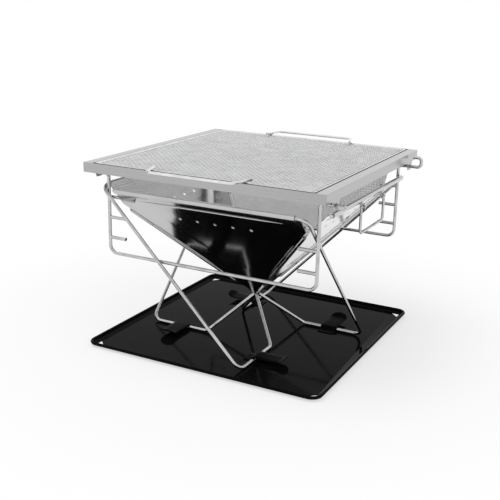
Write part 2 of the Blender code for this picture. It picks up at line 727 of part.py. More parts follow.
def build_grill():
    clear_scene()
    collection(PARTS)
    steel = material("Polished stainless steel", (0.72, 0.72, 0.73), 1.0, 0.12)
    brushed = material("Brushed stainless steel", (0.66, 0.66, 0.67), 1.0, 0.32)
    bright_wire = material("Bright steel wire", (0.70, 0.70, 0.70), 1.0, 0.22)
    net_wire = material("Plated net wire", (0.60, 0.60, 0.61), 0.9, 0.40)
    black = material("Black gloss coating", (0.018, 0.018, 0.019), 0.0, 0.15)

    make_base_plate(black)
    make_foot_clips(black)

    pit = add_empty("fire_pit_turn", (0.0, 0.0, 0.0))
    for turn in range(4):
        attach(make_panel(turn, steel), pit)
        attach(make_rod(turn, bright_wire), pit)
        attach(make_hinge_pin(turn, bright_wire), pit)
    attach(make_bail(bright_wire), pit)

    bridge = add_empty("grill_bridge_lift", (0.0, 0.0, STAND_HINGE_Z), pit)
    for rail in (make_end_rail("front_rail", -1, brushed), make_end_rail("rear_rail", 1, brushed),
                 make_side_rail("left_rail", 3, brushed), make_side_rail("right_rail", 1, brushed),
                 make_stand("front_stand", -1, bright_wire), make_stand("rear_stand", 1, bright_wire)):
        attach(rail, bridge)

    net = add_empty("cooking_net_lift", (0.0, 0.0, NET_Z), bridge)
    for piece in (make_net_border(net_wire), make_net_mesh(net_wire),
                  make_net_handle("net_front_handle", -1, bright_wire),
                  make_net_handle("net_rear_handle", 1, bright_wire)):
        attach(piece, net)


build_grill()
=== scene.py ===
# %% [markdown]
# # Folding charcoal grill
# This lesson dresses a ready-made model of a folding grill: four steel panels on bent wire legs, a
# black tray below, and a bridge of four rails with a cooking net above. The shapes come in as a fixed
# frame. What is left to make is what the eye notices: polish, brushing, enamel, and the woven net.

# %% Load the fixed frame and keep its box
from math import atan2, cos, hypot, pi, radians, sin

import bmesh
import bpy
from mathutils import Matrix, Vector


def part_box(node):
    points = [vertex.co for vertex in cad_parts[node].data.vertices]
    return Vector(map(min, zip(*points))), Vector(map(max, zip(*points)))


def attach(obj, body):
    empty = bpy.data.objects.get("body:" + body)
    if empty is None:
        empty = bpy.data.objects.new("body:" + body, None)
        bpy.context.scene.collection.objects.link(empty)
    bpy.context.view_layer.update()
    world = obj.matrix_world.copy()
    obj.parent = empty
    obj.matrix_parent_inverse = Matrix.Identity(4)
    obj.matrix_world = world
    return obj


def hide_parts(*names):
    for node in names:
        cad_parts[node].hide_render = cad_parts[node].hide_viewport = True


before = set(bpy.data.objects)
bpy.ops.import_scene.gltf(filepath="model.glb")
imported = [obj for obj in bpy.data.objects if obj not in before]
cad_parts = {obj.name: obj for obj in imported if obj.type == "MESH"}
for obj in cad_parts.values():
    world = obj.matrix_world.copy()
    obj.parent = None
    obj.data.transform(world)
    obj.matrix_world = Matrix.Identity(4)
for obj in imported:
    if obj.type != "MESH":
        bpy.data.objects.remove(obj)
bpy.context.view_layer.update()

# %% [markdown]
# ## The camera
# The photographer stood at the front right corner, a little above the net. Focal length, place and
# tilt were worked out by matching measured corners of the grill, so the numbers are not round. A
# camera looks along its own -Z, and its matrix is built from three directions and a place.

# %% Place the camera
AZIMUTH = radians(27.436)
ELEVATION = radians(16.960)
ROLL = radians(1.290)
FOCAL_PIXELS = 848.9
PHOTO_PIXELS = 500
SENSOR_WIDTH = 36.0
CAMERA_PLACE = Vector((0.5585, -1.1018, 0.5054))

backward = Vector((sin(AZIMUTH) * cos(ELEVATION), -cos(AZIMUTH) * cos(ELEVATION), sin(ELEVATION)))
level_right = Vector((cos(AZIMUTH), sin(AZIMUTH), 0.0))
level_up = backward.cross(level_right)
rolled_right = level_right * cos(ROLL) + level_up * sin(ROLL)
rolled_up = level_up * cos(ROLL) - level_right * sin(ROLL)
camera_data = bpy.data.cameras.new("photo_camera")
camera_data.sensor_width = SENSOR_WIDTH
camera_data.lens = FOCAL_PIXELS / PHOTO_PIXELS * SENSOR_WIDTH
camera_data.clip_start = 0.01
camera = bpy.data.objects.new("photo_camera", camera_data)
bpy.context.scene.collection.objects.link(camera)
turn = Matrix((rolled_right, rolled_up, backward)).transposed()
camera.matrix_world = Matrix.Translation(CAMERA_PLACE) @ turn.to_4x4()
bpy.context.scene.camera = camera
bpy.context.scene.view_settings.view_transform = "Standard"
print("The lens is", round(camera_data.lens, 1), "mm")

# %% [markdown]
# ## Helpers for materials
# Every finish here is a small tree of nodes, and the trees share a few steps: a place on the object
# in metres, a noise at that place, and a ramp that turns the noise into greys. Written once as
# functions, they keep each finish down to a few readable lines.

# %% A material, a place, a noise and a ramp
def new_material(name):
    """A material with a Principled shader, its nodes and a helper to link them."""
    made = bpy.data.materials.new(name)
    made.use_nodes = True
    return made, made.node_tree.nodes, made.node_tree.links, made.node_tree.nodes["Principled BSDF"]


def object_place(nodes, links, scale=(1.0, 1.0, 1.0)):
    """Positions in the object's own metres, stretched by a scale for grain and brushing."""
    place = nodes.new("ShaderNodeTexCoord")
    stretch = nodes.new("ShaderNodeMapping")
    stretch.inputs["Scale"].default_value = scale
    links.new(place.outputs["Object"], stretch.inputs["Vector"])
    return stretch.outputs["Vector"]


def noise(nodes, links, place, scale, detail=2.0, roughness=0.5):
    """Cloudy values from 0 to 1. A larger scale gives smaller blotches."""
    made = nodes.new("ShaderNodeTexNoise")
    made.inputs["Scale"].default_value = scale
    made.inputs["Detail"].default_value = detail
    made.inputs["Roughness"].default_value = roughness
    links.new(place, made.inputs["Vector"])
    return made.outputs["Fac"]


def ramp(nodes, links, value, *stops):
    """A colour ramp through stops of a position and a colour."""
    made = nodes.new("ShaderNodeValToRGB")
    while len(made.color_ramp.elements) < len(stops):
        made.color_ramp.elements.new(0.5)
    for element, (position, colour) in zip(made.color_ramp.elements, stops):
        element.position = position
        element.color = (*colour, 1.0)
    links.new(value, made.inputs["Fac"])
    return made.outputs["Color"]


def grey(level):
    """A colour with one level in all three channels."""
    return (level, level, level)


def steel_grey(level):
    """Steel is a trace bluer than plain grey."""
    return (level, level, level + 0.005)


print("Helpers for materials are ready")

# %% [markdown]
# ## The white tent
# Polished metal has no colour of its own: it shows the room. A product photo is taken in a white
# tent, so the world is white to the camera and to reflections, while the light that falls on the
# object is softer. The Light Path node tells the two apart.

# %% The white tent
TENT_FILL = 0.62


def seen_ray(nodes, links):
    """1 where the camera or a reflection looks, and 0 where light is only gathered."""
    ray = nodes.new("ShaderNodeLightPath")
    either = nodes.new("ShaderNodeMath")
    either.operation = "MAXIMUM"
    links.new(ray.outputs["Is Camera Ray"], either.inputs[0])
    links.new(ray.outputs["Is Glossy Ray"], either.inputs[1])
    return either.outputs[0]


def white_background(nodes, strength):
    """Plain white light from all round."""
    made = nodes.new("ShaderNodeBackground")
    made.inputs["Color"].default_value = (1.0, 1.0, 1.0, 1.0)
    made.inputs["Strength"].default_value = strength
    return made.outputs[0]


def white_tent():
    """A world that fills softly but is seen as plain white."""
    world = bpy.data.worlds.new("white_tent")
    world.use_nodes = True
    nodes = world.node_tree.nodes
    links = world.node_tree.links
    nodes.clear()
    choice = nodes.new("ShaderNodeMixShader")
    links.new(seen_ray(nodes, links), choice.inputs["Fac"])
    links.new(white_background(nodes, TENT_FILL), choice.inputs[1])
    links.new(white_background(nodes, 1.0), choice.inputs[2])
    out = nodes.new("ShaderNodeOutputWorld")
    links.new(choice.outputs[0], out.inputs["Surface"])
    return world


bpy.context.scene.world = white_tent()
print("The tent fills with", TENT_FILL, "of the white that is seen")

# %% [markdown]
# ## The floor
# The grill stands on white paper that has to take its shadow and still melt into the background.
# So the paper is part paper and part glow near the grill, where the shadow shows, and all glow
# further out, where it can't be told from the tent. The glow is seen but adds no light.

# %% The floor
FLOOR_SIZE = 14.0
FLOOR_HEIGHT = -0.0002
FADE_START = 0.22
FADE_END = 0.60
NEAR_GLOW = 0.60


def flat_sheet(name, size, place, paint):
    """A square of one face, for the floor and for cards."""
    half = size / 2
    corners = [(-half, -half, 0), (half, -half, 0), (half, half, 0), (-half, half, 0)]
    mesh = bpy.data.meshes.new(name)
    mesh.from_pydata(corners, [], [(0, 1, 2, 3)])
    mesh.materials.append(paint)
    made = bpy.data.objects.new(name, mesh)
    made.location = place
    bpy.context.scene.collection.objects.link(made)
    return made


def distance_fade(nodes, links, place):
    """NEAR_GLOW up to FADE_START metres from the middle, rising to 1 at FADE_END."""
    distance = nodes.new("ShaderNodeVectorMath")
    distance.operation = "LENGTH"
    links.new(place, distance.inputs[0])
    fade = nodes.new("ShaderNodeMapRange")
    fade.interpolation_type = "SMOOTHSTEP"
    fade.inputs["From Min"].default_value = FADE_START
    fade.inputs["From Max"].default_value = FADE_END
    fade.inputs["To Min"].default_value = NEAR_GLOW
    links.new(distance.outputs["Value"], fade.inputs["Value"])
    return fade.outputs["Result"]


def floor_paper():
    """White paper that takes the grill's shadow nearby and glows plain white further out."""
    made, nodes, links, shader = new_material("floor_paper")
    place = object_place(nodes, links)
    paper = noise(nodes, links, place, 9.0, 3.0)
    links.new(ramp(nodes, links, paper, (0.0, grey(0.90)), (1.0, grey(0.92))), shader.inputs["Base Color"])
    shader.inputs["Roughness"].default_value = 0.9
    shader.inputs["Specular IOR Level"].default_value = 0.1
    amount = nodes.new("ShaderNodeMath")
    amount.operation = "MULTIPLY"
    links.new(distance_fade(nodes, links, place), amount.inputs[0])
    links.new(seen_ray(nodes, links), amount.inputs[1])
    glow = nodes.new("ShaderNodeEmission")
    glow.inputs["Color"].default_value = (1.0, 1.0, 1.0, 1.0)
    glow.inputs["Strength"].default_value = 1.0
    blend = nodes.new("ShaderNodeMixShader")
    links.new(amount.outputs[0], blend.inputs["Fac"])
    links.new(shader.outputs[0], blend.inputs[1])
    links.new(glow.outputs[0], blend.inputs[2])
    links.new(blend.outputs[0], nodes["Material Output"].inputs["Surface"])
    return made


floor = flat_sheet("floor", FLOOR_SIZE, (0.0, 0.0, FLOOR_HEIGHT), floor_paper())
print("The floor is", floor.dimensions.x, "metres across")

# %% [markdown]
# ## Lamps and dark cards
# Two large soft lamps give the object its light and shade. Reflections don't see them, because the
# tent is what the metal should show. Dark cards do the opposite: only reflections see them. They give
# the sheet metal grey streaks and the round wires dark edges, which tell the eye that these are mirrors.

# %% The lamps
LAMP_AIM = Vector((0.0, 0.0, 0.12))


def turned_to(place, aim):
    """The rotation that turns the -Z side of a lamp or card at a place towards its aim."""
    return (Vector(place) - aim).to_track_quat("Z", "Y").to_euler()


def soft_lamp(name, place, size, power):
    """A square area lamp turned towards the grill."""
    data = bpy.data.lights.new(name, "AREA")
    data.size = size
    data.energy = power
    made = bpy.data.objects.new(name, data)
    made.location = place
    made.rotation_euler = turned_to(place, LAMP_AIM)
    made.visible_glossy = False
    bpy.context.scene.collection.objects.link(made)
    return made


lamps = [soft_lamp("key_from_above", (-0.7, -0.5, 2.1), size=1.5, power=20.0),
         soft_lamp("side_from_right", (1.9, -0.3, 1.3), size=1.1, power=8.0)]
print("Lamps:", [lamp.name for lamp in lamps])

# %% Dark cards for the reflections
CARD_AIM = Vector((0.0, 0.0, 0.15))


def card_felt():
    """Dark, dull felt."""
    made, nodes, links, shader = new_material("card_felt")
    felt = noise(nodes, links, object_place(nodes, links), 30.0, 3.0)
    links.new(ramp(nodes, links, felt, (0.0, grey(0.03)), (1.0, grey(0.07))), shader.inputs["Base Color"])
    shader.inputs["Roughness"].default_value = 1.0
    return made


def hidden_card(name, place, size, paint):
    """A dark card that only reflections see."""
    card = flat_sheet(name, 1.0, place, paint)
    card.scale = (*size, 1.0)
    card.rotation_euler = turned_to(place, CARD_AIM)
    card.visible_camera = False
    card.visible_shadow = False
    card.visible_diffuse = False
    return card


felt_paint = card_felt()
cards = [hidden_card("card_front", (-0.25, -1.9, 0.25), (0.5, 0.5), felt_paint),
         hidden_card("card_right", (1.9, 0.9, 0.7), (0.35, 1.2), felt_paint),
         hidden_card("card_left", (-2.0, -0.9, 0.5), (0.9, 1.6), felt_paint)]
print("Cards:", [card.name for card in cards])

# %% [markdown]
# ## Sheen, bumps and dark corners
# Real surfaces are never equally shiny all over, and their fine relief bends the highlights. A noise
# mapped to a range drives the roughness, and a bump drives the relief. An Ambient Occlusion node
# paints shade into the colour where pieces nearly touch, standing in for the shadow in gaps and corners.

# %% Helpers for sheen, bumps and dark corners
def spread(nodes, links, value, low, high):
    """A noise value, which seldom leaves 0.3 to 0.7, mapped to a range."""
    made = nodes.new("ShaderNodeMapRange")
    made.inputs["From Min"].default_value = 0.3
    made.inputs["From Max"].default_value = 0.7
    made.inputs["To Min"].default_value = low
    made.inputs["To Max"].default_value = high
    links.new(value, made.inputs["Value"])
    return made.outputs["Result"]


def bump(nodes, links, height, strength, distance):
    """A normal that a height tilts, for relief too fine to model."""
    made = nodes.new("ShaderNodeBump")
    made.inputs["Strength"].default_value = strength
    made.inputs["Distance"].default_value = distance
    links.new(height, made.inputs["Height"])
    return made.outputs["Normal"]


def shaded_corners(nodes, links, colour, reach, darkest):
    """The colour, darkened in narrow gaps and inside corners where little light gets in."""
    corner = nodes.new("ShaderNodeAmbientOcclusion")
    corner.inputs["Distance"].default_value = reach
    corner.samples = 8
    level = ramp(nodes, links, corner.outputs["AO"], (0.25, grey(darkest)), (0.85, grey(1.0)))
    mixed = nodes.new("ShaderNodeMix")
    mixed.data_type = "RGBA"
    mixed.blend_type = "MULTIPLY"
    mixed.inputs["Factor"].default_value = 1.0
    links.new(colour, mixed.inputs["A"])
    links.new(level, mixed.inputs["B"])
    return mixed.outputs["Result"]


print("Helpers for sheen, bumps and corners are ready")

# %% [markdown]
# ## Mirror-polished panels
# Stainless sheet is rolled, pressed and polished. Its base colour is a light grey, it is fully
# metallic, and it is nearly smooth. What makes it look pressed rather than drawn by a computer is a
# very faint waviness, some centimetres across, and hairline polish marks.

# %% Polished sheet
def polished_sheet():
    """Near-mirror steel with cloudy greys, fine polish marks and a faint wave."""
    made, nodes, links, shader = new_material("polished_sheet")
    place = object_place(nodes, links)
    cloud = noise(nodes, links, place, 14.0, 3.0)
    colour = ramp(nodes, links, cloud, (0.35, steel_grey(0.50)), (0.65, steel_grey(0.56)))
    # Painted shade: the grey darkens in narrow gaps and inside corners.
    links.new(shaded_corners(nodes, links, colour, 0.012, 0.35), shader.inputs["Base Color"])
    shader.inputs["Metallic"].default_value = 1.0
    hair_place = object_place(nodes, links, (900.0, 60.0, 60.0))
    hair = noise(nodes, links, hair_place, 1.0, 3.0, 0.7)
    links.new(spread(nodes, links, hair, 0.08, 0.14), shader.inputs["Roughness"])
    wave = noise(nodes, links, place, 11.0, 1.0)
    links.new(bump(nodes, links, wave, 0.015, 0.002), shader.inputs["Normal"])
    return made


sheet_finish = polished_sheet()
print("Made", sheet_finish.name)

# %% [markdown]
# ## Brushed rails
# The bridge's rails are satin: fine parallel scratches run along each rail. Scratches are noise that
# is squeezed across the rail and stretched along it, so each direction needs its own material.

# %% Brushed rails
ALONG_SCALE = 4.0
ACROSS_SCALE = 1400.0


def brushed_rail(name, scale):
    """Satin sheet with scratches along the direction whose scale is small."""
    made, nodes, links, shader = new_material(name)
    grain = noise(nodes, links, object_place(nodes, links, scale), 1.0, 4.0, 0.65)
    colour = ramp(nodes, links, grain, (0.3, steel_grey(0.40)), (0.7, steel_grey(0.49)))
    # Painted shade: the grey darkens in narrow gaps and inside corners.
    links.new(shaded_corners(nodes, links, colour, 0.006, 0.05), shader.inputs["Base Color"])
    shader.inputs["Metallic"].default_value = 1.0
    links.new(spread(nodes, links, grain, 0.16, 0.30), shader.inputs["Roughness"])
    links.new(bump(nodes, links, grain, 0.04, 0.0002), shader.inputs["Normal"])
    return made


brushed_x = brushed_rail("brushed_along_x", (ALONG_SCALE, ACROSS_SCALE, ACROSS_SCALE))
brushed_y = brushed_rail("brushed_along_y", (ACROSS_SCALE, ALONG_SCALE, ACROSS_SCALE))
print("Made", brushed_x.name, "and", brushed_y.name)

# %% [markdown]
# ## Drawn wire
# Wire is pulled through a die and then bent. It is bright and smooth with slight dull patches, and
# painted shade darkens it where it nearly touches another piece. The net's border and handles are
# plated, so they are lighter than the legs and stands.

# %% Drawn wire
def drawn_wire(name, dark, light):
    """Bright drawn wire whose grey drifts between two levels."""
    made, nodes, links, shader = new_material(name)
    place = object_place(nodes, links)
    dull = noise(nodes, links, place, 60.0, 4.0, 0.6)
    colour = ramp(nodes, links, dull, (0.3, steel_grey(dark)), (0.7, steel_grey(light)))
    # Painted shade: the grey darkens where the wire nearly touches another piece.
    links.new(shaded_corners(nodes, links, colour, 0.005, 0.15), shader.inputs["Base Color"])
    shader.inputs["Metallic"].default_value = 1.0
    links.new(spread(nodes, links, dull, 0.06, 0.15), shader.inputs["Roughness"])
    fine = noise(nodes, links, place, 900.0, 2.0)
    links.new(bump(nodes, links, fine, 0.08, 0.0001), shader.inputs["Normal"])
    return made


wire_finish = drawn_wire("drawn_wire", dark=0.44, light=0.62)
plated_finish = drawn_wire("plated_wire", dark=0.66, light=0.84)
print("Made", wire_finish.name, "and", plated_finish.name)

# %% [markdown]
# ## Black enamel
# The tray is dipped in glossy black. Such a coat has faint orange peel, a few dusty patches that
# are less shiny, and it reflects the legs almost like water. It is not metallic: the gloss comes from
# the clear surface alone, so a Principled shader with low roughness is enough. A low refractive
# index keeps the white tent's reflection from greying the black.

# %% Black enamel
def black_enamel(name, low, high, index):
    """Glossy black coat whose roughness drifts between two values, with its refractive index."""
    made, nodes, links, shader = new_material(name)
    place = object_place(nodes, links)
    dust = noise(nodes, links, place, 38.0, 5.0, 0.7)
    black = ramp(nodes, links, dust, (0.35, (0.003, 0.003, 0.0032)), (0.75, (0.007, 0.007, 0.0075)))
    links.new(black, shader.inputs["Base Color"])
    links.new(spread(nodes, links, dust, low, high), shader.inputs["Roughness"])
    peel = noise(nodes, links, place, 420.0, 2.0)
    links.new(bump(nodes, links, peel, 0.03, 0.0003), shader.inputs["Normal"])
    shader.inputs["IOR"].default_value = index
    return made


tray_finish = black_enamel("tray_enamel", low=0.05, high=0.11, index=1.07)
clip_finish = black_enamel("clip_enamel", low=0.12, high=0.22, index=1.045)
print("Made", tray_finish.name, "and", clip_finish.name)

# %% [markdown]
# ## Giving the finishes to the frame's own pieces
# Tray, rails, carry handle and the net's border and handles have the right shape already, so they
# stay and only their materials change. Round wire came in with flat facets. A small node group shades
# it smooth and keeps the steep edges of the sheet sharp.

# %% Smooth shading as a modifier
STEEP_EDGE = radians(38)
DOUBLED_POINTS = 1e-5


def smooth_group():
    """Welds doubled points and shades smooth, except across edges steeper than STEEP_EDGE."""
    group = bpy.data.node_groups.new("smooth_rounds", "GeometryNodeTree")
    group.interface.new_socket("Geometry", in_out="INPUT", socket_type="NodeSocketGeometry")
    group.interface.new_socket("Geometry", in_out="OUTPUT", socket_type="NodeSocketGeometry")
    start = group.nodes.new("NodeGroupInput")
    end = group.nodes.new("NodeGroupOutput")
    weld = group.nodes.new("GeometryNodeMergeByDistance")
    weld.inputs["Distance"].default_value = DOUBLED_POINTS
    faces = group.nodes.new("GeometryNodeSetShadeSmooth")
    edges = group.nodes.new("GeometryNodeSetShadeSmooth")
    edges.domain = "EDGE"
    edges.inputs["Shade Smooth"].default_value = False
    angle = group.nodes.new("GeometryNodeInputMeshEdgeAngle")
    steep = group.nodes.new("FunctionNodeCompare")
    steep.data_type = "FLOAT"
    steep.operation = "GREATER_THAN"
    steep.inputs["B"].default_value = STEEP_EDGE
    group.links.new(start.outputs[0], weld.inputs["Geometry"])
    group.links.new(weld.outputs["Geometry"], faces.inputs["Geometry"])
    group.links.new(faces.outputs["Geometry"], edges.inputs["Geometry"])
    group.links.new(angle.outputs["Unsigned Angle"], steep.inputs["A"])
    group.links.new(steep.outputs["Result"], edges.inputs["Selection"])
    group.links.new(edges.outputs["Geometry"], end.inputs[0])
    return group


rounds = smooth_group()
print("Edges steeper than", round(STEEP_EDGE * 180 / pi), "degrees stay sharp")

# %% Finish the frame's own pieces
def finish_node(name, paint):
    """Gives a frame piece its material and smooth rounds."""
    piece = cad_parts[name]
    if not piece.material_slots:
        piece.data.materials.append(paint)
    for material_slot in piece.material_slots:
        material_slot.material = paint
    piece.modifiers.new("smooth_rounds", "NODES").node_group = rounds


own_finishes = {"base_plate": tray_finish, "bail_handle": wire_finish, "net_border": plated_finish,
                "net_front_handle": plated_finish, "net_rear_handle": plated_finish,
                "front_rail": brushed_x, "rear_rail": brushed_x,
                "left_rail": brushed_y, "right_rail": brushed_y}
for name, paint in own_finishes.items():
    finish_node(name, paint)
print("Gave", len(own_finishes), "of the frame's own pieces their finishes")

# %% [markdown]
# ## Panels that hang a little deeper
# Against the photo the frame's panels and their hinge pins end a few millimetres too high at the tip.
# So each is copied, and every point of the copy sinks in proportion to its depth below the rim. A
# stretch in one direction keeps flat sheet flat and straight pins straight, and the rim stays put.
# A Weighted Normal modifier then lets the panels' big flat faces lead, or a mirror would look dented.

# %% Copy and lower the panels and pins
SIDES = ("front", "right", "back", "left")
RIM_REACH = 0.1725
RIM_HEIGHT = 0.2370
PIT_TIP_HEIGHT = 0.0644
DEEPER = 0.045


def deeper_copy(name, paint):
    """A lowered copy of a frame piece that stands for it, with the same smooth rounds."""
    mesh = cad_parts[name].data.copy()
    for vertex in mesh.vertices:
        vertex.co.z -= DEEPER * max(0.0, RIM_HEIGHT - vertex.co.z)
    mesh.materials.clear()
    mesh.materials.append(paint)
    piece = bpy.data.objects.new("deeper_" + name, mesh)
    bpy.context.scene.collection.objects.link(piece)
    piece.modifiers.new("smooth_rounds", "NODES").node_group = rounds
    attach(piece, "fire_pit")
    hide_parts(name)
    return piece


for side in SIDES:
    panel = deeper_copy("panel_" + side, sheet_finish)
    flats = panel.modifiers.new("flat_faces_lead", "WEIGHTED_NORMAL")
    flats.keep_sharp = True
pins = [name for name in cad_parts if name.startswith("hinge_pin")]
for name in pins:
    deeper_copy(name, wire_finish)
print("The pit's tip sinks by", round(1000 * DEEPER * (RIM_HEIGHT - PIT_TIP_HEIGHT), 1), "mm")

# %% [markdown]
# ## Pressed beads on the panels
# A press stamps thin raised lines into each panel, one under the rim and one along each slanted
# edge. They stiffen the sheet, and on a mirror each shows as one bright stroke. A bead is made as a
# round wire that lies half sunk in the outer face.

# %% The panels' plane, from the frame's sizes
SHEET = 0.001
ROD_RADIUS = 0.0025
ROD_CLEARANCE = 0.0003
FOOT_REACH = 0.0544
FOOT_HEIGHT = 0.0038
slope = atan2(RIM_HEIGHT - FOOT_HEIGHT, RIM_REACH + FOOT_REACH)
sheet_slope = atan2((1.0 + DEEPER) * sin(slope), cos(slope))
sheet_lift = (ROD_RADIUS + ROD_CLEARANCE + SHEET / 2) * sin(sheet_slope) / sin(slope)
hinge_reach = RIM_REACH - sheet_lift * sin(sheet_slope)


def panel_place(quarter, angle):
    """From a plane with X along the rim and Y down a slope to one of the pit's four sides."""
    spin = Matrix.Rotation(quarter * pi / 2, 4, "Z")
    lean = Matrix.Rotation(-angle, 4, "X")
    return spin @ Matrix.Translation((0.0, -RIM_REACH, RIM_HEIGHT)) @ lean


print("The rods lean", round(slope * 180 / pi, 1), "degrees and the panels", round(sheet_slope * 180 / pi, 1))

# %% Lay the beads on each panel
BEAD_RADIUS = 0.0012
BEAD_SPANS = 13
BEAD_END_SHARE = 0.15
BEAD_TAPER = 6.0
TOP_BEAD_DOWN = 0.0225
TOP_BEAD_HALF = 0.113
SIDE_BEAD_OFFSET = 0.0058
SIDE_BEAD_FROM = 0.050
SIDE_BEAD_TO = 0.120


def bead_strokes():
    """Start and end of each bead in the panel's plane, as (along the rim, down the slope)."""
    strokes = [[(-TOP_BEAD_HALF, TOP_BEAD_DOWN), (TOP_BEAD_HALF, TOP_BEAD_DOWN)]]
    for hand in (-1, 1):
        strokes.append([(hand * (run - SIDE_BEAD_OFFSET), (hinge_reach - run) / cos(sheet_slope))
                        for run in (SIDE_BEAD_FROM, SIDE_BEAD_TO)])
    return strokes


def panel_beads(side, quarter):
    """Three beads of one panel, thinner towards their ends, turned into place."""
    curve = bpy.data.curves.new("beads_" + side, "CURVE")
    curve.dimensions = "3D"
    curve.bevel_depth = BEAD_RADIUS
    curve.bevel_resolution = 3
    curve.use_fill_caps = True
    for start, end in bead_strokes():
        spline = curve.splines.new("POLY")
        spline.points.add(BEAD_SPANS)
        for index, point in enumerate(spline.points):
            part = index / BEAD_SPANS
            x = start[0] + (end[0] - start[0]) * part
            y = start[1] + (end[1] - start[1]) * part
            point.co = (x, y, sheet_lift - SHEET / 2, 1.0)
            point.radius = min(1.0, BEAD_END_SHARE + BEAD_TAPER * min(part, 1.0 - part))
    beads = bpy.data.objects.new("beads_" + side, curve)
    bpy.context.scene.collection.objects.link(beads)
    beads.matrix_world = panel_place(quarter, sheet_slope)
    curve.materials.append(sheet_finish)
    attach(beads, "fire_pit")
    return beads


all_beads = [panel_beads(side, quarter) for quarter, side in enumerate(SIDES)]
print("Laid beads on", len(all_beads), "panels")

# %% [markdown]
# ## Bent wire, drawn smoother
# The frame's rods and stands have flat facets and tight bends, which is plenty for a simulation. For
# the eye, each is drawn again along the same route as one smooth tube with wide bends at the feet. A
# curve with a round bevel is the natural tool for wire.

# %% Bend a route round its corners
BEND_STEP = radians(9)


def bend(corners, radii):
    """Points of a route through the corners, each corner replaced by an arc of its radius."""
    points = [Vector(corners[0])]
    for before, corner, after, radius in zip(corners, corners[1:], corners[2:], radii):
        corner = Vector(corner)
        back = (Vector(before) - corner).normalized()
        ahead = (Vector(after) - corner).normalized()
        angle = pi - back.angle(ahead)
        middle = corner + (back + ahead).normalized() * (radius / cos(angle / 2))
        start = corner + back * (radius * sin(angle / 2) / cos(angle / 2)) - middle
        end = corner + ahead * (radius * sin(angle / 2) / cos(angle / 2)) - middle
        count = max(3, round(angle / BEND_STEP))
        for index in range(count + 1):
            part = angle * index / count
            points.append(middle + (start * sin(angle - part) + end * sin(part)) / sin(angle))
    points.append(Vector(corners[-1]))
    return points


print("Routes bend in steps of", round(BEND_STEP * 180 / pi), "degrees")

# %% Make wire along its routes
def smooth_wire(name, routes, place, body, node):
    """One piece of round wire along one or more routes, standing for a piece of the frame."""
    curve = bpy.data.curves.new(name, "CURVE")
    curve.dimensions = "3D"
    curve.bevel_depth = ROD_RADIUS
    curve.bevel_resolution = 5
    curve.use_fill_caps = True
    for route in routes:
        spline = curve.splines.new("POLY")
        spline.points.add(len(route) - 1)
        spline.use_smooth = True
        for point, spot in zip(spline.points, route):
            point.co = (*spot, 1.0)
    piece = bpy.data.objects.new(name, curve)
    bpy.context.scene.collection.objects.link(piece)
    piece.matrix_world = place
    curve.materials.append(wire_finish)
    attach(piece, body)
    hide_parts(node)
    return piece


print("Wire is", 2000 * ROD_RADIUS, "mm thick")

# %% [markdown]
# ## Leg rods
# One rod does two jobs: it starts inside a panel's curled edge as the pit's rim, turns down at the
# corner as a leg, lies on the tray as a foot under its clip, and rises to the pit's tip. All of it
# lies in one sloping plane, so five corners describe it, and the same route serves all four sides.

# %% Leg rods
ROD_START = 0.139
LEG_OFFSET = 0.155
FOOT_INNER_OFFSET = 0.057
TIP_OFFSET = 0.003
PAST_CENTRE = 0.001
RIM_BEND = 0.015
FOOT_BEND = 0.014
INNER_BEND = 0.009
foot_down = hypot(RIM_HEIGHT - FOOT_HEIGHT, RIM_REACH + FOOT_REACH)
tip_down = (RIM_REACH + PAST_CENTRE) / cos(slope)
rod_corners = [(-ROD_START, 0.0, 0.0), (LEG_OFFSET, 0.0, 0.0), (LEG_OFFSET, foot_down, 0.0),
               (FOOT_INNER_OFFSET, foot_down, 0.0), (TIP_OFFSET, tip_down, 0.0)]
rod_route = bend(rod_corners, (RIM_BEND, FOOT_BEND, INNER_BEND))
for quarter, side in enumerate(SIDES):
    smooth_wire("rod_" + side, [rod_route], panel_place(quarter, slope), "fire_pit", "leg_rod_" + side)
rod_length = sum((after - before).length for before, after in zip(rod_route, rod_route[1:]))
print("Each rod takes", round(rod_length, 3), "metres of wire")

# %% [markdown]
# ## Stands
# Each stand is a U of wire. Its two ends bend outwards at the top and pass through ears below the
# side rails, as a hinge, and on the right the wire goes on into a ring. The top pegs rest on the inner
# faces of the pit's panels. The lower pegs would hold the bridge higher. A few corners describe the
# bent wire, and each peg is a short straight tube in the same curve.

# %% Stands with their pegs
STAND_Y = 0.1475
STAND_HINGE = 0.2540
WALL_OUTSIDE = 0.1823
HOOK_LENGTH = 0.005
PEG_LEVELS = 3
PEG_TOP = 0.2208
PEG_PITCH = 0.030
PEG_LENGTH = 0.0275
EAR_BEND = 0.006
STAND_BEND = 0.012
RING_BEND = 0.0055


def stand(side, facing, left, right, drop, ring):
    """A U of wire on its hinge line, with three pegs a side and a ring outside the right rail."""
    outside = Vector((WALL_OUTSIDE, 0.0, 0.0))
    corners = [(-WALL_OUTSIDE - HOOK_LENGTH, 0.0, 0.0), (left, 0.0, 0.0), (left, 0.0, -drop),
               (right, 0.0, -drop), (right, 0.0, 0.0)]
    corners += [outside + Vector(spot) for spot in ring]
    routes = [bend(corners, (EAR_BEND, STAND_BEND, STAND_BEND, EAR_BEND, RING_BEND, RING_BEND))]
    for level in range(PEG_LEVELS):
        height = PEG_TOP - level * PEG_PITCH - STAND_HINGE
        routes.append([Vector((left, 0.0, height)), Vector((left + PEG_LENGTH, 0.0, height))])
        routes.append([Vector((right, 0.0, height)), Vector((right - PEG_LENGTH, 0.0, height))])
    place = Matrix.Translation((0.0, facing * STAND_Y, STAND_HINGE))
    return smooth_wire("stand_" + side, routes, place, "stand_" + side, side + "_stand")


